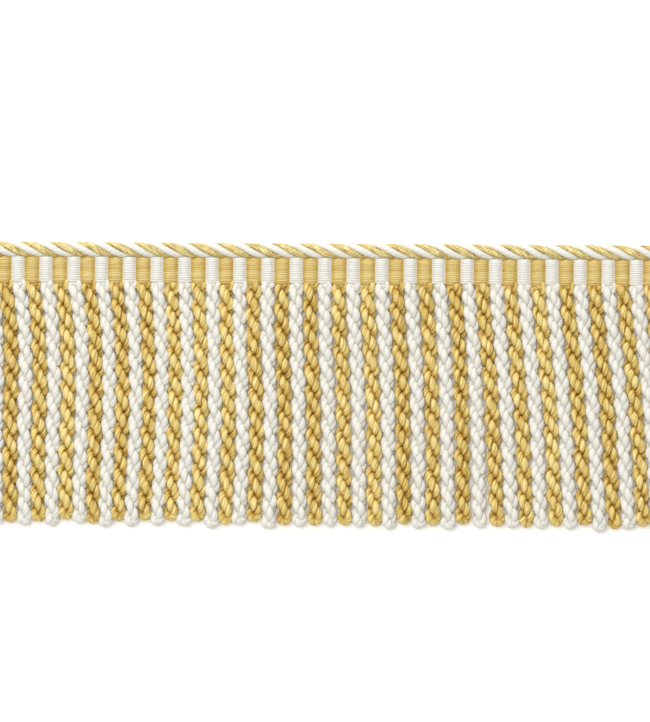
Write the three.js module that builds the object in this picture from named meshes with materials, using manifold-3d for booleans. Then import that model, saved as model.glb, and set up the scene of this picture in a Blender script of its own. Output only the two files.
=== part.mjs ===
// A cut length of bullion fringe, lying face up and flat. Millimetres.
// X runs along the trim, Y points from the fringe's tips up to the lip, Z points up from the surface it lies on.
// A woven heading carries a row of twisted strands, ivory and gold in turn, and a corded lip runs along its top.
import * as THREE from "three";
import { mergeVertices } from "three/addons/utils/BufferGeometryUtils.js";
import Module from "manifold-3d";

// The woven repeat is one ivory strand and one gold strand.
const repeatLength = 7.5;
const repeats = 24;
const strandPitch = repeatLength / 2;
const strandCount = repeats * 2;
const trimLength = repeatLength * repeats;
const pieceGap = 0.3;

// Heading: a flat-backed band with one rounded rib over each strand's root. Y is 0 at its visible foot.
const headingTop = 6.7;
const headingFoot = 1.3;
const ribValley = 2.3;
const ribCrest = 3.0;
const goldRibWidth = 4.0;
const ivoryRibWidth = repeatLength - goldRibWidth;
const ribHalfSegments = 2;

// Root strips: the last rows of the heading, one for each colour, one above the other.
const stripWidth = 1.0;
const stripThickness = 1.35;
const ivoryStripFloor = ribCrest - stripThickness;

// Strands: a doubled yarn, so the section is an oval that turns half way round for each crossing.
const strandDrop = { gold: 64.0, ivory: 64.8 };
const dropGrowth = 0.9; // how much longer the strands are at the right end
const dropUneven = 0.45;
const yarnWide = 1.63; // half widths of the oval section
const yarnTight = 1.35;
const crossingLength = 5.35; // one half turn
const turnPerStep = THREE.MathUtils.degToRad(76);

// Where a strand leaves its strip it is flattened to the strip's thickness.
const rootDepth = 0.4;
const rootClear = 0.35;
const rootTaper = 1.25;
const rootHalfHeight = 0.58;

// A strand's closed end, from full size to its rounded tip.
const tipRound = 1.5;
const tipShoulder = 0.45;
const tipShoulderSize = 0.86;
const tipEndSize = 0.45;

// Lip: four yarns laid round each other into a slightly flat cord. One turn of a yarn takes two repeats.
const lipRadius = 2.1;
const lipHalfHeight = 1.7;
const lipYarnInner = 0.36; // nearest that a yarn comes to the lip's axis
const lipYarnCentre = 1.25;
const lipYarnAround = 0.87; // half size of a yarn's section round the axis
const lipLay = repeatLength * 2;
const lipStart = THREE.MathUtils.degToRad(-12); // how far round the first yarn is at the left end
const lipStepsPerTurn = 8;
const lipAxisY = headingTop + pieceGap + lipRadius;

// How far the weave, and so each root, lies to the right of its even place, and how far the strands lie to the
// right of their roots a quarter, half, three quarters and all the way down. "at" is the place along the trim.
const hang = [
  { at: -90, root: 0, quarter: 1.6, half: 1.7, threeQuarter: 1.6, tip: 1.9 },
  { at: -65, root: -0.15, quarter: 1.9, half: 2.1, threeQuarter: 1.65, tip: 1.4 },
  { at: -48, root: -0.35, quarter: 1.3, half: 1.6, threeQuarter: 1.1, tip: 0.6 },
  { at: -33, root: -0.65, quarter: 0.6, half: 0.9, threeQuarter: 0.4, tip: 0.0 },
  { at: -18, root: -0.9, quarter: 0.0, half: 0.55, threeQuarter: 0.65, tip: 0.0 },
  { at: -3, root: -0.75, quarter: 0.0, half: 0.6, threeQuarter: 0.85, tip: 1.0 },
  { at: 12, root: -0.5, quarter: 0.45, half: 1.4, threeQuarter: 1.7, tip: 2.0 },
  { at: 35, root: -0.2, quarter: 1.45, half: 2.15, threeQuarter: 2.5, tip: 2.7 },
  { at: 43, root: -0.1, quarter: 1.35, half: 2.6, threeQuarter: 3.5, tip: 4.1 },
  { at: 58, root: 0, quarter: 1.3, half: 2.9, threeQuarter: 3.95, tip: 4.8 },
  { at: 90, root: 0, quarter: 1.65, half: 3.5, threeQuarter: 4.75, tip: 6.1 },
];

// Colours as they look from a step away. The heading's is the mean of its stripes.
const goldYarn = 0xd3b56f;
const ivoryYarn = 0xebe8dd;
const stripedHeading = 0xdfd1a8;
const yarnRoughness = 0.6;

const wasm = await Module();
wasm.setup();

// A closed geometry as a solid to join, and a joined solid as a geometry again.
function toSolid(geometry) {
  const bare = geometry.clone();
  bare.deleteAttribute("normal");
  bare.deleteAttribute("uv");
  const merged = mergeVertices(bare, 1e-4);
  return new wasm.Manifold(
    new wasm.Mesh({
      numProp: 3,
      vertProperties: merged.attributes.position.array,
      triVerts: new Uint32Array(merged.index.array),
    }),
  );
}

function toGeometry(solid) {
  const mesh = solid.getMesh();
  const geometry = new THREE.BufferGeometry();
  geometry.setAttribute("position", new THREE.BufferAttribute(mesh.vertProperties, 3));
  geometry.setIndex(new THREE.BufferAttribute(mesh.triVerts, 1));
  geometry.computeVertexNormals();
  return geometry;
}

function piece(name, geometry, color) {
  const material = new THREE.MeshStandardMaterial({ color, roughness: yarnRoughness, metalness: 0 });
  const mesh = new THREE.Mesh(geometry, material);
  mesh.name = name;
  return mesh;
}

// A repeatable small difference between strands, from -1 to 1.
function uneven(index) {
  return Math.sin(1.7 * index * index);
}

function strandX(index) {
  return (index - (strandCount - 1) / 2) * strandPitch;
}

function isGold(index) {
  return index % 2 === 1;
}

// One column of the table at a place along the trim, straight between its rows.
function hangAt(x, column) {
  const next = THREE.MathUtils.clamp(hang.findIndex((row) => row.at >= x), 1, hang.length - 1);
  const [before, after] = [hang[next - 1], hang[next]];
  return THREE.MathUtils.mapLinear(x, before.at, after.at, before[column], after[column]);
}

// Where an even place along the trim really lies.
function woven(x) {
  return x + hangAt(x, "root");
}

// The lean of the strand at a place along the trim: a smooth curve down the strand.
function leanCurve(x) {
  const offsets = ["quarter", "half", "threeQuarter", "tip"].map((column) => hangAt(x, column));
  return new THREE.SplineCurve([0, ...offsets].map((offset, row) => new THREE.Vector2(offset, row)));
}

// A solid bar with a four-cornered section. place(x, y, share along the bar) says where each vertex goes.
function fourSidedBar(right, left, half, steps, place) {
  const section = new THREE.Shape([
    new THREE.Vector2(right, 0),
    new THREE.Vector2(0, half),
    new THREE.Vector2(-left, 0),
    new THREE.Vector2(0, -half),
  ]);
  const geometry = new THREE.ExtrudeGeometry(section, { depth: 1, steps, bevelEnabled: false });
  const position = geometry.getAttribute("position");
  for (let i = 0; i < position.count; i++) {
    const [x, y, z] = place(position.getX(i), position.getY(i), position.getZ(i));
    position.setXYZ(i, x, y, z);
  }
  return toSolid(geometry);
}

// One twisted strand. It starts inside its root strip, swells to full size, and ends in a rounded tip.
// It is made in mirror image, where the bar's facets follow the ridges of the twist, and then turned back.
function strand(index, rootZ) {
  const x = strandX(index);
  const drop =
    (isGold(index) ? strandDrop.gold : strandDrop.ivory) +
    (dropGrowth * (x + trimLength / 2)) / trimLength +
    dropUneven * uneven(index);
  const turnPerMm = Math.PI / crossingLength;
  const bodyStart = rootClear + rootTaper;
  const bodyEnd = drop - tipRound;
  const bodySteps = Math.round(((bodyEnd - bodyStart) * turnPerMm) / turnPerStep);
  const body = Array.from({ length: bodySteps + 1 }, (_, k) =>
    THREE.MathUtils.lerp(bodyStart, bodyEnd, k / bodySteps),
  );
  const stations = [-rootDepth, rootClear, ...body, drop - tipShoulder, drop];
  const sizes = stations.map(() => 1);
  sizes.splice(-2, 2, tipShoulderSize, tipEndSize);
  const lean = leanCurve(x);
  const steps = stations.length - 1;
  const mirrored = fourSidedBar(yarnWide, yarnWide, yarnTight, steps, (across, up, share) => {
    const row = Math.round(share * steps);
    const down = stations[row];
    const turn = turnPerMm * Math.max(0, down);
    const swell = THREE.MathUtils.clamp((down - rootClear) / rootTaper, 0, 1);
    const flat = THREE.MathUtils.lerp(rootHalfHeight / yarnTight, 1, swell);
    const centreZ = THREE.MathUtils.lerp(rootZ, yarnWide, swell);
    const side = (across * Math.cos(turn) - up * Math.sin(turn)) * sizes[row];
    const rise = (across * Math.sin(turn) + up * Math.cos(turn)) * sizes[row] * flat;
    const sway = lean.getPoint(Math.max(0, down) / drop).x;
    return [side - sway, -down, centreZ + rise];
  });
  return mirrored.mirror([1, 0, 0]).translate([woven(x), 0, 0]);
}

// All the strands of one colour, fused at their roots into that colour's strip.
function skirt(name, color, gold, stripFloor) {
  const rootZ = stripFloor + stripThickness / 2;
  const strip = new THREE.BoxGeometry(trimLength, stripWidth, stripThickness);
  strip.translate(0, stripWidth / 2, rootZ);
  let joined = toSolid(strip);
  for (let index = 0; index < strandCount; index++) {
    if (isGold(index) === gold) joined = joined.add(strand(index, rootZ));
  }
  return piece(name, toGeometry(joined), color);
}

// The woven band. Each rib is half an ellipse, and the back is flat.
function heading() {
  const profile = new THREE.Shape();
  profile.moveTo(-trimLength / 2, 0);
  profile.lineTo(trimLength / 2, 0);
  profile.lineTo(trimLength / 2, ribValley);
  let right = trimLength / 2;
  for (let index = strandCount - 1; index >= 0; index--) {
    const left = right - (isGold(index) ? goldRibWidth : ivoryRibWidth);
    const middle = (woven(left) + woven(right)) / 2;
    const halfWidth = (woven(right) - woven(left)) / 2;
    profile.absellipse(middle, ribValley, halfWidth, ribCrest - ribValley, 0, Math.PI, false);
    right = left;
  }
  const geometry = new THREE.ExtrudeGeometry(profile, {
    depth: headingTop - headingFoot,
    curveSegments: ribHalfSegments,
    bevelEnabled: false,
  });
  geometry.rotateX(Math.PI / 2);
  geometry.translate(0, headingTop, 0);
  return piece("heading", geometry, stripedHeading);
}

// One of the lip's four yarns, made in mirror image too. On the face it runs from the top edge down to the right.
function lipYarn(name, color, quarterTurns) {
  const steps = Math.round((trimLength / lipLay) * lipStepsPerTurn);
  const outer = lipRadius - lipYarnCentre;
  const inner = lipYarnCentre - lipYarnInner;
  const mirrored = fourSidedBar(outer, inner, lipYarnAround, steps, (across, around, share) => {
    const turn = -lipStart - (Math.PI / 2) * quarterTurns - (2 * Math.PI * trimLength * share) / lipLay;
    const out = lipYarnCentre + across;
    const y = out * Math.cos(turn) - around * Math.sin(turn);
    const rise = (out * Math.sin(turn) + around * Math.cos(turn)) / lipRadius;
    return [woven((share - 0.5) * trimLength), y, lipHalfHeight * (1 + rise)];
  });
  return piece(name, toGeometry(mirrored.mirror([0, 1, 0]).translate([0, lipAxisY, 0])), color);
}

const trim = new THREE.Group();
trim.add(
  heading(),
  skirt("gold_bullion", goldYarn, true, 0),
  skirt("ivory_bullion", ivoryYarn, false, ivoryStripFloor),
  lipYarn("lip_gold_first", goldYarn, 1),
  lipYarn("lip_ivory_first", ivoryYarn, 2),
  lipYarn("lip_gold_second", goldYarn, 3),
  lipYarn("lip_ivory_second", ivoryYarn, 4),
);

// The origin is the middle of the trim's underside.
const bounds = new THREE.Box3().setFromObject(trim);
const middle = bounds.getCenter(new THREE.Vector3());
trim.position.set(-middle.x, -middle.y, -bounds.min.z);

export default trim;
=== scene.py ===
import math
import bpy
import numpy as np
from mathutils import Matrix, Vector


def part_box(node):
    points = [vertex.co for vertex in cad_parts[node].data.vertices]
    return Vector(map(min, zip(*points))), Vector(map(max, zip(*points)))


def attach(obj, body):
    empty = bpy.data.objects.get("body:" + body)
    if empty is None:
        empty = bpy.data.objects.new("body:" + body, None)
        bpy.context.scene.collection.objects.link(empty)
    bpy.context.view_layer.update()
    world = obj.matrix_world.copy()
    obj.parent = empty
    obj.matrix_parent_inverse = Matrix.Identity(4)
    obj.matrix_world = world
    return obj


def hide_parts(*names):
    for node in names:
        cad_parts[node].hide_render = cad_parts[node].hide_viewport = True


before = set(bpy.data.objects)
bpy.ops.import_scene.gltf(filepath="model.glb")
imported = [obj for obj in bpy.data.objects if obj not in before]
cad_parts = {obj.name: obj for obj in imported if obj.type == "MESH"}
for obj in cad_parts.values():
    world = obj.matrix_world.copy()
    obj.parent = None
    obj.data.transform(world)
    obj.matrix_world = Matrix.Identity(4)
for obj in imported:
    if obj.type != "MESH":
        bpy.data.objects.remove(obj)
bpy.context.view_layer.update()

mm = 0.001
fullTurn = 2 * math.pi
random = np.random.default_rng(48)

# Lengths are in millimetres. Places along the trim are measured from its middle, and places across it from
# the heading's foot up.
lowCorner, highCorner = (np.array(corner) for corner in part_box("heading"))
trim = {"repeat": 7.5, "repeats": 24, "headingTop": 6.7}
trimMiddle = (lowCorner[0] + highCorner[0]) / 2 / mm
trimFoot = highCorner[1] / mm - trim["headingTop"]
trimLength = trim["repeat"] * trim["repeats"]
strandPitch = trim["repeat"] / 2
strandCount = 2 * trim["repeats"]
strandPlaces = (np.arange(strandCount) - (strandCount - 1) / 2) * strandPitch
goldStrands = np.arange(1, strandCount, 2)
ivoryStrands = np.arange(0, strandCount, 2)

# Camera: straight down through a long lens, so near that the trim runs out of both sides of the view
view = {
    "width": 173.8,  # what the picture takes in at the table
    "distance": 1100,
    "right": 1.31,  # of the trim's middle
    "belowFoot": 20.75,
    "rollDegrees": 0.35,
    "sensor": 36,
    "farthest": 10000,
}
cameraData = bpy.data.cameras.new("camera")
cameraData.sensor_fit = "HORIZONTAL"
cameraData.sensor_width = view["sensor"]
cameraData.lens = view["sensor"] * view["distance"] / view["width"]
cameraData.clip_end = view["farthest"] * mm
camera = bpy.data.objects.new("camera", cameraData)
camera.location = (
    (trimMiddle + view["right"]) * mm,
    (trimFoot - view["belowFoot"]) * mm,
    view["distance"] * mm,
)
camera.rotation_euler = (0, 0, math.radians(view["rollDegrees"]))
bpy.context.collection.objects.link(camera)
bpy.context.scene.camera = camera
print("camera placed")

# How far the weave, and so each root, lies to the right of its even place, and how far the strands lie to
# the right of their roots a quarter, half, three quarters and all the way down. "at" is the place along the
# trim.
hang = {
    "at": [-90, -65, -48, -33, -18, -3, 12, 35, 43, 58, 90],
    "root": [0, -0.15, -0.35, -0.65, -0.9, -0.75, -0.5, -0.2, -0.1, 0, 0],
    "quarter": [1.75, 2.1, 1.45, 0.65, 0, 0.1, 0.6, 1.6, 1.45, 1.45, 1.9],
    "half": [1.85, 2.4, 1.75, 0.9, 0.7, 0.75, 1.55, 2.3, 2.75, 3.1, 3.75],
    "threeQuarter": [1.75, 1.95, 1.35, 0.45, 0.9, 1.0, 1.85, 2.65, 3.65, 4.15, 5.0],
    "tip": [2.05, 1.85, 0.55, 0, 0.15, 1.35, 2.2, 2.8, 4.45, 5.05, 6.4],
}


# One column of the table at any place: straight lines between the places that it names
def hangAt(place, column):
    return np.interp(place, hang["at"], hang[column])


# Where an even place along the trim really lies
def woven(place):
    return place + hangAt(place, "root")


# A smooth rise from 0 to 1: three times the square less twice the cube
def smoothStep(value):
    value = np.clip(value, 0, 1)
    return value * value * (3 - 2 * value)


# Each vector divided by its own length
def unit(vectors):
    return vectors / np.linalg.norm(vectors, axis=-1, keepdims=True)


# The length of a path up to each of its points
def travelled(path):
    return np.concatenate([[0], np.cumsum(np.linalg.norm(np.diff(path, axis=0), axis=-1))])


# Even angles once round
def anglesRound(sides):
    return fullTurn * np.arange(sides) / sides


# An oval at each point of a path, in the plane of two unit vectors.
# Oval = high * cos(spin) * up + wide * sin(spin) * side.
def ovals(up, side, high, wide, spin):
    return (
        high * np.cos(spin)[None, :, None] * up[:, None, :]
        + wide * np.sin(spin)[None, :, None] * side[:, None, :]
    )


# Closed tubes as one mesh. grids holds arrays (rings, sides, 3); each ring joins the next and a flat face
# closes each end. alongs is the length at each ring and girth the way round, both for the UV map, and marks
# are one number for each vertex.
def tubesPiece(name, grids, alongs, girth, marks, material, nodes):
    points, corners, starts, maps = [], [], [], []
    vertexStart = cornerStart = 0
    for grid, length in zip(grids, alongs):
        rings, sides = grid.shape[:2]
        ring, side = np.meshgrid(np.arange(rings - 1), np.arange(sides), indexing="ij")
        here = ring * sides
        after = (ring + 1) * sides
        nextSide = (side + 1) % sides
        quads = np.stack([here + side, here + nextSide, after + nextSide, after + side], axis=-1)
        quads = quads.reshape(-1, 4)
        u = np.stack([length[ring], length[ring], length[ring + 1], length[ring + 1]], axis=-1)
        v = np.stack([side, side + 1, side + 1, side], axis=-1) * (girth / sides)
        firstCap = np.arange(sides)[::-1]
        lastCap = np.arange(sides) + (rings - 1) * sides
        capMap = np.stack([np.zeros(sides), np.arange(sides) * (girth / sides)], axis=-1)
        capStarts = [len(quads) * 4, len(quads) * 4 + sides]
        points.append(grid.reshape(-1, 3))
        corners.append(np.concatenate([quads.ravel(), firstCap, lastCap]) + vertexStart)
        starts.append(np.concatenate([np.arange(len(quads)) * 4, capStarts]) + cornerStart)
        maps.append(np.stack([u, v], axis=-1).reshape(-1, 2))
        maps.append(capMap + [length[0], 0])
        maps.append(capMap + [length[-1], 0])
        vertexStart += rings * sides
        cornerStart += quads.size + 2 * sides
    points = (np.concatenate(points) + [trimMiddle, trimFoot, 0]) * mm
    corners = np.concatenate(corners)
    starts = np.concatenate(starts)
    mesh = bpy.data.meshes.new(name)
    mesh.vertices.add(len(points))
    mesh.vertices.foreach_set("co", points.ravel())
    mesh.loops.add(len(corners))
    mesh.loops.foreach_set("vertex_index", corners.astype(np.int32))
    mesh.polygons.add(len(starts))
    mesh.polygons.foreach_set("loop_start", starts.astype(np.int32))
    mesh.update(calc_edges=True)
    yarnMap = mesh.uv_layers.new(name="yarn")
    yarnMap.data.foreach_set("uv", np.concatenate(maps).ravel())
    for markName, values in marks.items():
        mark = mesh.attributes.new(markName, "FLOAT", "POINT")
        mark.data.foreach_set("value", np.concatenate(values).ravel())
    mesh.validate()
    mesh.polygons.foreach_set("use_smooth", np.ones(len(mesh.polygons), dtype=bool))
    mesh.materials.append(material)
    piece = bpy.data.objects.new(name, mesh)
    bpy.context.collection.objects.link(piece)
    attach(piece, "root")
    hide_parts(*nodes)
    print(name, "made with", len(corners) - 2 * len(starts), "triangles")


# An sRGB hex colour as linear light, by the standard's own curve
def linear(hexColour):
    values = np.array([int(hexColour[k : k + 2], 16) / 255 for k in (1, 3, 5)])
    values = np.where(values <= 0.04045, values / 12.92, ((values + 0.055) / 1.055) ** 2.4)
    return (*values, 1)


# A node with its settings, by socket or property name, and its links from other nodes' outputs
def addNode(material, kind, settings=None, links=None):
    node = material.node_tree.nodes.new(kind)
    for key, value in (settings or {}).items():
        if isinstance(key, int) or key in node.inputs:
            node.inputs[key].default_value = value
        else:
            setattr(node, key, value)
    for key, source in (links or {}).items():
        material.node_tree.links.new(source, node.inputs[key])
    return node


rayon = {
    "ior": 1.52,
    "sheenRoughness": 0.45,
    "streakDetail": 2,
    "streakRoughness": 0.6,
    "streakLow": 0.3,  # the noise lies between these two nearly everywhere
    "streakHigh": 0.7,
    "plySpread": 90,  # how far apart plies of the darkest and the lightest tone lie in the noise
    "evenTone": 0.5,  # of a ply that is neither lighter nor darker
}


# Viscose rayon: bright filaments laid side by side, so each ply has a satin sheen that runs along it. Its
# colour is partly painted light: fine painted streaks of light and shade, painted shade where plies press
# together and a painted highlight on each ply's crown. The real filaments are too fine to show, so the
# streaks are drawn 0.2 to 0.3 mm wide, about a pixel.
def rayonYarn(name, look):
    material = bpy.data.materials.new(name)
    material.use_nodes = True
    material.node_tree.nodes.clear()

    def add(kind, settings=None, links=None):
        return addNode(material, kind, settings, links)

    uv = add("ShaderNodeUVMap", {"uv_map": "yarn"}).outputs["UV"]
    tone = add("ShaderNodeAttribute", {"attribute_name": "tone"}).outputs["Fac"]
    shadeMark = add("ShaderNodeAttribute", {"attribute_name": "shadeMark"}).outputs["Fac"]
    split = add("ShaderNodeSeparateXYZ", None, {0: uv})
    slant = add(
        "ShaderNodeMath",
        {"operation": "MULTIPLY_ADD", 1: look["fibreSlant"]},
        {0: split.outputs[0], 2: split.outputs[1]},
    )
    longways = add(
        "ShaderNodeMath",
        {"operation": "MULTIPLY", 1: 1 / look["streakLength"]},
        {0: split.outputs[0]},
    )
    crossways = add(
        "ShaderNodeMath",
        {"operation": "MULTIPLY", 1: 1 / look["streakWidth"]},
        {0: slant.outputs[0]},
    )
    each = add("ShaderNodeMath", {"operation": "MULTIPLY", 1: rayon["plySpread"]}, {0: tone})
    place = add(
        "ShaderNodeCombineXYZ",
        None,
        {0: longways.outputs[0], 1: crossways.outputs[0], 2: each.outputs[0]},
    )
    streaks = add(
        "ShaderNodeTexNoise",
        {"Scale": 1, "Detail": rayon["streakDetail"], "Roughness": rayon["streakRoughness"]},
        {"Vector": place.outputs[0]},
    )
    streakTone = add(
        "ShaderNodeMapRange",
        {
            "From Min": rayon["streakLow"],
            "From Max": rayon["streakHigh"],
            "To Min": -look["streakDepth"],
            "To Max": look["streakDepth"],
        },
        {"Value": streaks.outputs["Fac"]},
    )
    plyTone = add(
        "ShaderNodeMapRange",
        {"To Min": -look["plyTone"], "To Max": look["plyTone"]},
        {"Value": tone},
    )
    lightness = add(
        "ShaderNodeMath",
        {"operation": "ADD"},
        {0: streakTone.outputs[0], 1: plyTone.outputs[0]},
    )
    # By its shade mark each point gets painted shade in the crevices, rising to a painted highlight on the
    # crown
    fill = add(
        "ShaderNodeMapRange",
        {"From Min": look["creviceFrom"], "From Max": look["creviceTo"], "To Max": look["crownLevel"]},
        {"Value": shadeMark},
    )
    level = add(
        "ShaderNodeMath",
        {"operation": "MULTIPLY_ADD", 1: look["bodyLevel"]},
        {0: fill.outputs[0], 2: lightness.outputs[0]},
    )
    # Ramp stops: painted crevice shade, painted shade, the yarn's own body colour and a painted highlight
    ramp = add("ShaderNodeValToRGB", None, {"Fac": level.outputs[0]})
    stops = ramp.color_ramp.elements
    stops[0].position, stops[0].color = 0, linear(look["creviceShade"])
    stops[1].position, stops[1].color = 1, linear(look["light"])
    stops.new(look["shadeLevel"]).color = linear(look["shade"])
    stops.new(look["bodyLevel"]).color = linear(look["body"])
    bump = add(
        "ShaderNodeBump",
        {"Strength": look["bumpStrength"], "Distance": look["bumpDepth"] * mm},
        {"Height": streaks.outputs["Fac"]},
    )
    skin = add(
        "ShaderNodeBsdfPrincipled",
        {
            "Roughness": look["roughness"],
            "IOR": rayon["ior"],
            "Specular IOR Level": look["specular"],
            "Sheen Weight": look["sheen"],
            "Sheen Roughness": rayon["sheenRoughness"],
            "Sheen Tint": linear(look["light"]),
            "Subsurface Weight": look["glow"],
            "Subsurface Radius": (1, 1, 1),
            "Subsurface Scale": look["glowReach"] * mm,
        },
        {"Base Color": ramp.outputs["Color"], "Normal": bump.outputs["Normal"]},
    )
    add("ShaderNodeOutputMaterial", None, {"Surface": skin.outputs["BSDF"]})
    return material


goldLook = {
    # crevice and shade are painted shade, light is a painted highlight and body is the yarn's own colour
    "creviceShade": "#8d6517",
    "shade": "#bb9642",
    "body": "#cdb05e",
    "light": "#e9d591",
    "creviceFrom": 0.29,  # shade marks of the deepest painted crevice shade and of a crown's painted highlight
    "creviceTo": 0.85,
    "crownLevel": 1.2,  # how light a crown's painted highlight is, with the body's level as 1
    "shadeLevel": 0.36,  # where painted shade and body colour lie between crevice shade and highlight
    "bodyLevel": 0.62,
    "plyTone": 0.12,  # how much lighter or darker whole plies are
    "streakDepth": 0.42,
    "streakWidth": 0.3,
    "streakLength": 2.2,
    "fibreSlant": 0.12,  # how far the filaments go round a ply for each millimetre along it
    "bumpStrength": 0.7,
    "bumpDepth": 0.06,
    "roughness": 0.45,
    "specular": 0.32,
    "sheen": 0.1,
    "glow": 0.15,
    "glowReach": 0.3,  # how far light travels under the surface
}
ivoryLook = {
    **goldLook,
    # the ivory's painted crevice shade, painted shade, own body colour and painted highlight
    "creviceShade": "#d9d6ca",
    "shade": "#dad7cb",
    "body": "#dcd9cf",
    "light": "#dfddd4",
    "plyTone": 0.08,
    "streakDepth": 0.2,
    "roughness": 0.5,
    "glow": 0.3,
}
# Threads and cord: their painted crevice shade and crown highlight span other shade marks
tight = {"creviceFrom": 0.42, "creviceTo": 0.98}  # for threads and cord, whose crevices are narrow
fineStreaks = {**tight, "streakWidth": 0.2, "streakLength": 6.0, "streakDepth": 0.15}
# The warps' body colours are their own and their light colours are painted highlights
goldWarpLook = {**goldLook, **fineStreaks, "body": "#ccb46e", "light": "#ecdda0"}
ivoryWarpLook = {
    **ivoryLook,
    **fineStreaks,
    "body": "#e0ded5",
    "light": "#efeee8",
    "glow": 0.4,
    "glowReach": 0.4,
}
# The cord's gold is paler and lighter than the strands', in part a painted highlight on its fine twist
goldCordLook = {
    **goldLook,
    **tight,
    "creviceShade": "#86682c",
    "shade": "#c4ab62",
    "body": "#dfce8c",
    "light": "#f8efc0",
}
goldRayon = rayonYarn("gold_viscose_rayon_ply", goldLook)
ivoryRayon = rayonYarn("ivory_viscose_rayon_ply", ivoryLook)
goldWarpRayon = rayonYarn("gold_viscose_rayon_warp", goldWarpLook)
ivoryWarpRayon = rayonYarn("ivory_viscose_rayon_warp", ivoryWarpLook)
goldCordRayon = rayonYarn("gold_viscose_rayon_cord", goldCordLook)
print("materials made")


# Waves are given as the length for each radian, slow and quick, and shifts as radians from one ply to the
# next.
bullion = {
    "drop": {"gold": 64.0, "ivory": 64.8},
    "dropGrowth": 0.9,  # longer at the right end
    "dropUneven": 0.45,
    "dropPattern": 1.7,  # radians, by the square of the strand's number
    "halfTurns": 11.2,
    "extraTurn": {"gold": 0, "ivory": math.pi / 2},  # so that wide parts lie beside narrow ones
    "extraTurnLength": 12,  # at each end
    "firstTurn": 0.6,
    "turnUneven": 0.4,
    "turnWander": 0.3,
    "turnWaves": 1.7,  # from root to tip
    "size": {"gold": 1.235, "ivory": 1.115},  # of the strand's section, all lengths across it included
    "fullness": {"gold": 1, "ivory": 1.22},  # how much thicker each ply is for the same places
    "legCentre": 0.735,  # from the strand's axis to the middle of each leg of the doubled yarn
    "tipCentre": 0.7,
    "tipTwist": {"gold": 2.6, "ivory": 1.5},  # how much closer the plies' twist is round the closed end
    "tipLength": 3.0,
    "plies": 2,
    "plyCentre": 0.465,  # from the middle of a leg to the middle of each ply
    "plyTurn": 1.94,  # radians for each millimetre, against the strand's own twist
    "plyHigh": 0.6,  # half the thickness of a ply, away from the leg's middle and beside it
    "plyWide": 0.72,
    "plyWander": 0.25,
    "plyWanderWaves": (3.7, 1.9),
    "plyWanderShift": 2.4,
    "swell": 0.1,  # how much thicker a ply is where it lies outermost
    "groove": 0.26,  # how much painted shade a ply gets on its sides, most where it faces into its leg
    "slub": 0.06,
    "slubWaves": (2.3, 0.9),
    "slubShifts": (2, 4),
    "height": 1.81,  # of the strand's axis
    "flatten": 0.78,
    "wander": 0.06,
    "wanderWaves": (31, 17),  # whole waves
    "quickWander": 0.6,  # the quick wave's share of the slow one
    "wanderGrowth": 14,  # how far down the wander has its full size
    "rootSize": 0.9,  # of the plies where they come out from under the heading
    "rootSizeLength": 1.6,
    "rootWide": 0.1,  # how much further apart the legs are where they leave the heading
    "rootWideLength": 2.6,
    "stepLength": 0.4,
    "loopSteps": 12,
    "sides": 10,
}


# The lean at one place along the trim for each share of the drop: the one quartic through the five stations
def leanDown(place, share):
    stations = np.array([0, 0.25, 0.5, 0.75, 1])
    values = [0] + [hangAt(place, column) for column in ("quarter", "half", "threeQuarter", "tip")]
    return np.polyval(np.polyfit(stations, values, len(stations) - 1), share)


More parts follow.
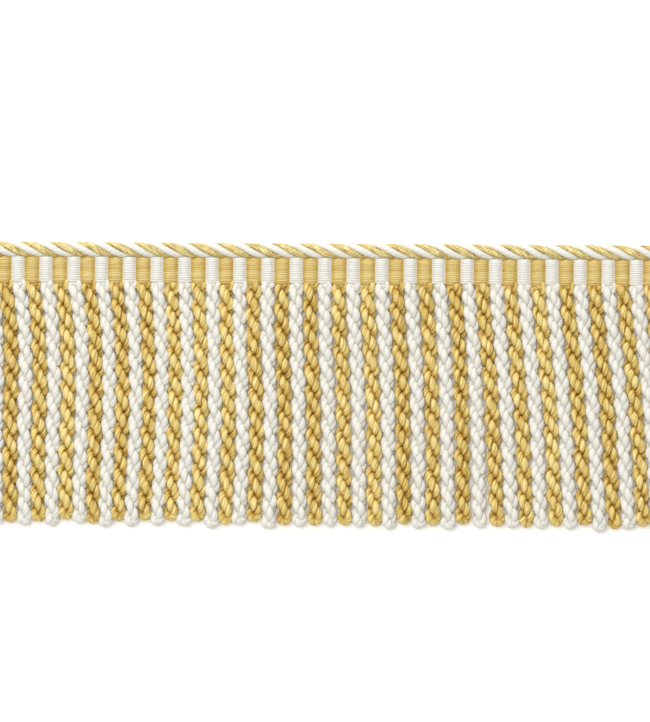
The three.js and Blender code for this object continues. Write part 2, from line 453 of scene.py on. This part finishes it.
# One strand: a yarn goes down one leg, round the closed end and back up the other, and two plies wind round
# it. Leg = axis + radius * outward, where outward turns once for each two crossings. Ply = leg + a small
# radius * a vector that turns the other way round the leg. Surface = ply + an oval round it, with its height
# flattened towards the strand's axis.
def strandGrids(index, colour):
    place = strandPlaces[index]
    drop = bullion["drop"][colour] + bullion["dropGrowth"] * (place / trimLength + 0.5)
    drop += bullion["dropUneven"] * math.sin(bullion["dropPattern"] * index * index)
    size = bullion["size"][colour]
    loopDown = drop - size * (bullion["tipCentre"] + bullion["plyCentre"] + bullion["plyHigh"])
    legSteps = int(loopDown / bullion["stepLength"])
    legDown = np.linspace(0, loopDown, legSteps)
    loopTurn = np.linspace(0, math.pi, bullion["loopSteps"] + 2)[1:-1]
    down = np.concatenate([legDown, np.full(len(loopTurn), loopDown), legDown[::-1]])
    roundEnd = np.concatenate([np.zeros(legSteps), loopTurn, np.full(legSteps, math.pi)])

    rootTurn, tipTurn = bullion["firstTurn"] + random.normal(0, bullion["turnUneven"], 2)
    phases = random.uniform(0, fullTurn, 8)
    share = down / loopDown
    turn = rootTurn + (tipTurn - rootTurn - bullion["halfTurns"] * math.pi) * share
    turnWave = np.sin(fullTurn * share * bullion["turnWaves"] + phases[0])
    turn += bullion["turnWander"] * turnWave * np.sin(math.pi * share)
    fromRoot = smoothStep(down / bullion["extraTurnLength"])
    nearTip = smoothStep(1 - (loopDown - down) / bullion["extraTurnLength"])
    turn -= bullion["extraTurn"][colour] * (fromRoot + nearTip)

    slowSway, quickSway = (fullTurn * down / wave for wave in bullion["wanderWaves"])
    sway = leanDown(place, share) + bullion["wander"] * smoothStep(down / bullion["wanderGrowth"]) * (
        np.sin(slowSway + phases[1]) + bullion["quickWander"] * np.sin(quickSway + phases[2])
    )
    radius = bullion["legCentre"] + (bullion["tipCentre"] - bullion["legCentre"]) * smoothStep(
        1 - (loopDown - down) / bullion["tipLength"]
    )
    radius += bullion["rootWide"] * (1 - smoothStep(down / bullion["rootWideLength"]))
    rootSize = bullion["rootSize"] + (1 - bullion["rootSize"]) * smoothStep(down / bullion["rootSizeLength"])
    across = np.stack([np.cos(turn), np.zeros_like(turn), np.sin(turn)], axis=-1)
    outward = np.cos(roundEnd)[:, None] * across + np.sin(roundEnd)[:, None] * np.array([0, -1, 0])
    axis = np.stack([woven(place) + sway, -down, np.full_like(down, bullion["height"])], axis=-1)
    leg = axis + size * radius[:, None] * outward
    direction = unit(np.gradient(leg, axis=0))
    sideways = unit(np.cross(direction, outward))
    length = travelled(leg)
    plyTravel = np.concatenate([[0], np.cumsum(np.abs(np.diff(down)))])
    plyTravel += roundEnd * bullion["tipCentre"] * bullion["tipTwist"][colour]

    spin = anglesRound(bullion["sides"])
    outermost = size * (bullion["legCentre"] + bullion["plyCentre"] + bullion["plyHigh"])
    slowWander, quickWander = (length / wave for wave in bullion["plyWanderWaves"])
    slowSlub, quickSlub = (length / wave for wave in bullion["slubWaves"])
    slowShift, quickShift = bullion["slubShifts"]
    grids, alongs, shadeMarks, tones = [], [], [], []
    for ply in range(bullion["plies"]):
        plyAngle = phases[3] + bullion["plyTurn"] * plyTravel + fullTurn * ply / bullion["plies"]
        plyAngle += bullion["plyWander"] * (
            np.sin(slowWander + phases[5]) + np.sin(quickWander + phases[6] + bullion["plyWanderShift"] * ply)
        )
        away = np.cos(plyAngle)[:, None] * outward + np.sin(plyAngle)[:, None] * sideways
        centre = leg + size * bullion["plyCentre"] * rootSize[:, None] * away
        along = unit(np.gradient(centre, axis=0))
        away = unit(away - (away * along).sum(-1, keepdims=True) * along)
        beside = np.cross(along, away)
        thick = 1 + bullion["slub"] * (
            np.sin(slowSlub + phases[4] + slowShift * ply) + np.sin(quickSlub + phases[7] + quickShift * ply)
        )
        thick = size * bullion["fullness"][colour] * rootSize * (thick + bullion["swell"] * np.cos(plyAngle))
        section = ovals(away, beside, bullion["plyHigh"], bullion["plyWide"], spin)
        grid = centre[:, None, :] + thick[:, None, None] * section
        # Shade mark: how far out each point lies, less on a ply's inner side. It sets painted shade in the
        # crevices and a painted highlight on the outermost crowns.
        reach = np.linalg.norm(grid - axis[:, None, :], axis=-1) / outermost
        reach -= bullion["groove"] * (1 - np.cos(spin)[None, :]) / 2
        grid[..., 2] = bullion["height"] + (grid[..., 2] - bullion["height"]) * bullion["flatten"]
        grids.append(grid)
        alongs.append(length)
        shadeMarks.append(reach.ravel())
        tones.append(np.full(reach.size, random.uniform()))
    return grids, alongs, shadeMarks, tones


half = trim["repeats"] // 2
for name, strands, colour, material in (
    ("gold_bullion_left", goldStrands[:half], "gold", goldRayon),
    ("gold_bullion_right", goldStrands[half:], "gold", goldRayon),
    ("ivory_bullion_left", ivoryStrands[:half], "ivory", ivoryRayon),
    ("ivory_bullion_right", ivoryStrands[half:], "ivory", ivoryRayon),
):
    grids, alongs, shadeMarks, tones = [], [], [], []
    for index in strands:
        for total, made in zip((grids, alongs, shadeMarks, tones), strandGrids(index, colour)):
            total.extend(made)
    girth = math.pi * (bullion["plyHigh"] + bullion["plyWide"])
    marks = {"shadeMark": shadeMarks, "tone": tones}
    tubesPiece(name, grids, alongs, girth, marks, material, [colour + "_bullion"])


# Gold warps show over the gold columns and pass behind the ivory ones, ivory warps the other way round.
heading = {
    "rows": 12,
    "foot": -0.1,
    "top": 7.05,
    "topDrop": 0.9,  # how much lower the top row lies, under the lip
    "topDropFade": 0.1,  # from each row to the next
    "footDrop": 0.2,  # how much lower the bottom row lies, where the strands come out from under it
    "footDropFade": 0.4,
    "rowShift": 0.25,  # share of a row by which gold threads lie lower and ivory ones higher
    "goldColumn": 4.0,
    "threadWide": 0.37,  # half widths of a warp thread
    "threadHigh": 0.16,
    "threadSides": 6,
    "crest": 2.76,
    "crossing": 2.0,
    "trough": 0.24,
    "shoulder": 1.3,  # how far from its column's edge a thread is level
    "pointsPerColumn": 10,
    "uneven": 0.015,
    "unevenWaves": (5.1, 1.9),
    "edgeShadeMark": 0.7,  # painted shade mark at a column's edge, and how much it rises to the column's middle
    "shadeMarkRise": 0.2,
    "pickTop": 6.6,
    "pickFoot": -1.5,
    # painted shade mark of the picks, the same all over them
    "pickShadeMark": 0.8,
    "pickMiddle": 1.5,
    "pickHigh": 0.95,
    "pickGap": 0.1,
    "pickSides": 12,
    "pickTaper": 0.8,  # of its section at both ends
    "pickTaperLength": 0.4,
    "pickRing": 3.3,  # one more ring of the bar, up from its foot
}


# A warp thread along the trim. Height = crossing height plus or minus a flat-topped wave, 0 at column edges.
def warpGrids(colour):
    goldWidth = heading["goldColumn"]
    ivoryWidth = trim["repeat"] - goldWidth
    shares = (1 - np.cos(math.pi * np.arange(heading["pointsPerColumn"]) / heading["pointsPerColumn"])) / 2
    repeatPlaces = np.concatenate([shares * ivoryWidth, ivoryWidth + shares * goldWidth])
    fromEdge = np.minimum(shares, 1 - shares)
    side = 1 if colour == "gold" else -1
    rise = np.concatenate([-fromEdge * ivoryWidth, fromEdge * goldWidth]) * side
    rise = np.append(np.tile(rise, trim["repeats"]), 0)
    place = (np.arange(trim["repeats"])[:, None] * trim["repeat"] + repeatPlaces[None, :]).ravel()
    place = np.append(place, trimLength) - trimLength / 2
    lift = np.sign(rise) * smoothStep(np.abs(rise) / heading["shoulder"])
    high = heading["crest"] - heading["crossing"]
    low = heading["crossing"] - heading["trough"]
    height = heading["crossing"] + np.where(lift > 0, high, low) * lift
    pitch = (heading["top"] - heading["foot"]) / heading["rows"]
    slowWave, quickWave = (place / wave for wave in heading["unevenWaves"])
    spin = anglesRound(heading["threadSides"])
    grids, alongs, shadeMarks, tones = [], [], [], []
    for row in range(heading["rows"]):
        phase = random.uniform(0, fullTurn, 2)
        up = heading["foot"] + (row + 0.5 - heading["rowShift"] * side) * pitch
        up = up + heading["uneven"] * (np.sin(slowWave + phase[0]) + np.sin(quickWave + phase[1]))
        rowsBelowTop = heading["rows"] - 1 - row
        drop = heading["footDrop"] * heading["footDropFade"] ** row
        drop += heading["topDrop"] * heading["topDropFade"] ** rowsBelowTop
        drop = drop * np.clip(lift, 0, 1)
        centre = np.stack([woven(place), up, height - drop], axis=-1)
        along = unit(np.gradient(centre, axis=0))
        above = unit(np.cross(along, np.array([0, 1, 0])))
        beside = np.cross(along, above)
        grid = centre[:, None, :] + ovals(above, beside, heading["threadHigh"], heading["threadWide"], spin)
        grids.append(grid)
        alongs.append(travelled(centre))
        # Painted shade at each column's edge, where the threads dip, growing lighter towards its middle
        shadeMarks.append(np.repeat(heading["edgeShadeMark"] + heading["shadeMarkRise"] * np.abs(lift), len(spin)))
        tones.append(np.full(len(place) * len(spin), random.uniform()))
    return grids, alongs, shadeMarks, tones


# The yarns inside each column, across the trim: a straight bar of oval section, slightly tapered at both ends
def pickGrids(strands, width):
    barLength = heading["pickTop"] - heading["pickFoot"]
    taperLength = heading["pickTaperLength"]
    up = np.array([0, taperLength, heading["pickRing"], barLength - taperLength, barLength])
    size = np.array([heading["pickTaper"], 1, 1, 1, heading["pickTaper"]])
    spin = anglesRound(heading["pickSides"])
    across = (width / 2 - heading["pickGap"]) * np.cos(spin)
    high = heading["pickHigh"] * np.sin(spin)
    grids = []
    for index in strands:
        grid = np.zeros((len(up), len(spin), 3))
        grid[..., 0] = woven(strandPlaces[index]) + size[:, None] * across[None, :]
        grid[..., 1] = heading["pickFoot"] + up[:, None]
        grid[..., 2] = heading["pickMiddle"] + size[:, None] * high[None, :]
        grids.append(grid)
    alongs = [up] * len(grids)
    # One painted shade mark all over each pick, a little past the body colour towards the painted highlight
    shadeMarks = [np.full(len(up) * len(spin), heading["pickShadeMark"])] * len(grids)
    tones = [np.full(len(up) * len(spin), rayon["evenTone"])] * len(grids)
    return grids, alongs, shadeMarks, tones


goldPicks = pickGrids(goldStrands, heading["goldColumn"])
ivoryPicks = pickGrids(ivoryStrands, trim["repeat"] - heading["goldColumn"])
for name, made, material, slot in (
    ("heading_gold_warp", warpGrids("gold"), goldWarpRayon, "gold_rayon"),
    ("heading_ivory_warp", warpGrids("ivory"), ivoryWarpRayon, "ivory_rayon"),
    ("heading_gold_picks", goldPicks, goldRayon, "gold_rayon"),
    ("heading_ivory_picks", ivoryPicks, ivoryRayon, "ivory_rayon"),
):
    grids, alongs, shadeMarks, tones = made
    girth = math.pi * (heading["threadHigh"] + heading["threadWide"])
    marks = {"shadeMark": shadeMarks, "tone": tones}
    tubesPiece(name, grids, alongs, girth, marks, material, ["heading"])


# The lip: four yarns laid round each other into a slightly flat cord, one turn for each two repeats
lip = {
    "axisUp": 8.65,
    "centreAcross": 1.32,  # from the lip's axis to the middle of a yarn, across the trim and upwards
    "centreUp": 0.87,
    "yarnHigh": 0.8,
    "lay": 15.0,
    "startDegrees": -12,  # how far round the first yarn is at the left end
    "wanderDegrees": 2.5,
    "wanderWaves": (2.9, 1.1),
    "wanderShifts": (2, 5),  # radians from one yarn to the next
    "grooveShadeMark": 0.48,  # painted shade mark in a groove, and its rise to an outer crown's painted highlight
    "crownRise": 0.5,
    "stepLength": 0.26,
    "sides": 12,
    "gold": {"yarnWide": 1.16, "plies": 3, "plyLay": 2.3, "groove": 0.32},
    "ivory": {"yarnWide": 1.02, "plies": 3, "plyLay": 3.4, "groove": 0.13},
}


# A lip yarn: an oval helix round the lip's axis, with a grooved section that turns as it goes.
# Section = an oval * (1 - groove * how far the point is from the nearest ply's crown).
def lipGrid(quarterTurns, twist):
    steps = int(trimLength / lip["stepLength"])
    place = np.linspace(-trimLength / 2, trimLength / 2, steps)
    turn = math.radians(lip["startDegrees"]) + math.pi / 2 * quarterTurns
    turn = turn + fullTurn * (place + trimLength / 2) / lip["lay"]
    slowWave, quickWave = (place / wave for wave in lip["wanderWaves"])
    slowShift, quickShift = lip["wanderShifts"]
    turn += math.radians(lip["wanderDegrees"]) * (
        np.sin(slowWave + slowShift * quarterTurns) + np.sin(quickWave + quickShift * quarterTurns)
    )
    outward = np.stack([np.zeros_like(turn), np.cos(turn), np.sin(turn)], axis=-1)
    up = lip["axisUp"] + lip["centreAcross"] * np.cos(turn)
    height = lip["centreUp"] * (1 + np.sin(turn)) + lip["yarnHigh"]
    centre = np.stack([woven(place), up, height], axis=-1)
    along = unit(np.gradient(centre, axis=0))
    beside = unit(np.cross(along, outward))
    length = travelled(centre)
    spin = anglesRound(lip["sides"])
    fold = spin[None, :] + fullTurn * length[:, None] / twist["plyLay"]
    crown = np.abs(np.cos(twist["plies"] * fold / 2))
    size = 1 - twist["groove"] * (1 - crown)
    section = ovals(outward, beside, lip["yarnHigh"], twist["yarnWide"], spin)
    grid = centre[:, None, :] + size[..., None] * section
    # Painted shade in the grooves and on the side facing the lip's axis, painted highlight on crowns facing
    # out
    shadeMark = lip["grooveShadeMark"] + lip["crownRise"] * crown * (1 + np.cos(spin)[None, :]) / 2
    return grid, length, shadeMark.ravel()


for node, quarterTurns, colour, material in (
    ("lip_gold_first", 3, "gold", goldCordRayon),
    ("lip_ivory_first", 4, "ivory", ivoryWarpRayon),
    ("lip_gold_second", 5, "gold", goldCordRayon),
    ("lip_ivory_second", 6, "ivory", ivoryWarpRayon),
):
    grid, length, shadeMark = lipGrid(quarterTurns, lip[colour])
    marks = {"shadeMark": [shadeMark], "tone": [np.full(len(shadeMark), rayon["evenTone"])]}
    girth = math.pi * (lip["yarnHigh"] + lip[colour]["yarnWide"])
    tubesPiece(node + "_yarn", [grid], [length], girth, marks, material, [node])

# A plain white table far wider than the view, a large soft light high above, a lower one beyond the lip,
# which brightens the sides that face the picture's top edge, and an even sky. Lengths here are in metres.
studio = {
    "tableHalf": 3.0,
    "tableBelow": 0.0001,  # so that it doesn't lie in the same plane as the trim's back
    "tableColour": "#fbfaf7",
    "tableRoughness": 0.9,
    "tableGlow": 0.11,
    "tableGlowColour": "#fff9f1",
    "sky": 0.6,
    "lights": {
        "overhead": {"place": (-0.4, 0.26, 1.28), "size": 1.0, "power": 11.5},
        "beyondLip": {"place": (-0.1, 1.1, 0.6), "size": 0.8, "power": 6.3},
    },
}
tableMesh = bpy.data.meshes.new("table_top")
corner = studio["tableHalf"]
tableCorners = [(-corner, -corner, 0), (corner, -corner, 0), (corner, corner, 0), (-corner, corner, 0)]
tableMesh.from_pydata(tableCorners, [], [(0, 1, 2, 3)])
paper = bpy.data.materials.new("matt_white_paper")
paper.use_nodes = True
paper.node_tree.nodes.clear()
paperSkin = addNode(
    paper,
    "ShaderNodeBsdfPrincipled",
    {
        "Base Color": linear(studio["tableColour"]),
        "Roughness": studio["tableRoughness"],
        "Emission Color": linear(studio["tableGlowColour"]),
        "Emission Strength": studio["tableGlow"],
    },
)
addNode(paper, "ShaderNodeOutputMaterial", None, {"Surface": paperSkin.outputs["BSDF"]})
tableMesh.materials.append(paper)
table = bpy.data.objects.new("table_top", tableMesh)
table.location.z = -studio["tableBelow"]
bpy.context.collection.objects.link(table)

for name, light in studio["lights"].items():
    lightData = bpy.data.lights.new(name, "AREA")
    lightData.size = light["size"]
    lightData.energy = light["power"]
    lamp = bpy.data.objects.new(name, lightData)
    lamp.location = light["place"]
    aim = -np.array(light["place"])
    lamp.rotation_euler = (math.atan2(math.hypot(aim[0], aim[1]), -aim[2]), 0, math.atan2(-aim[0], aim[1]))
    bpy.context.collection.objects.link(lamp)
world = bpy.data.worlds.new("studio")
world.use_nodes = True
world.node_tree.nodes["Background"].inputs["Color"].default_value = (1, 1, 1, 1)
world.node_tree.nodes["Background"].inputs["Strength"].default_value = studio["sky"]
bpy.context.scene.world = world
bpy.context.scene.view_settings.view_transform = "Standard"
print("studio lit")
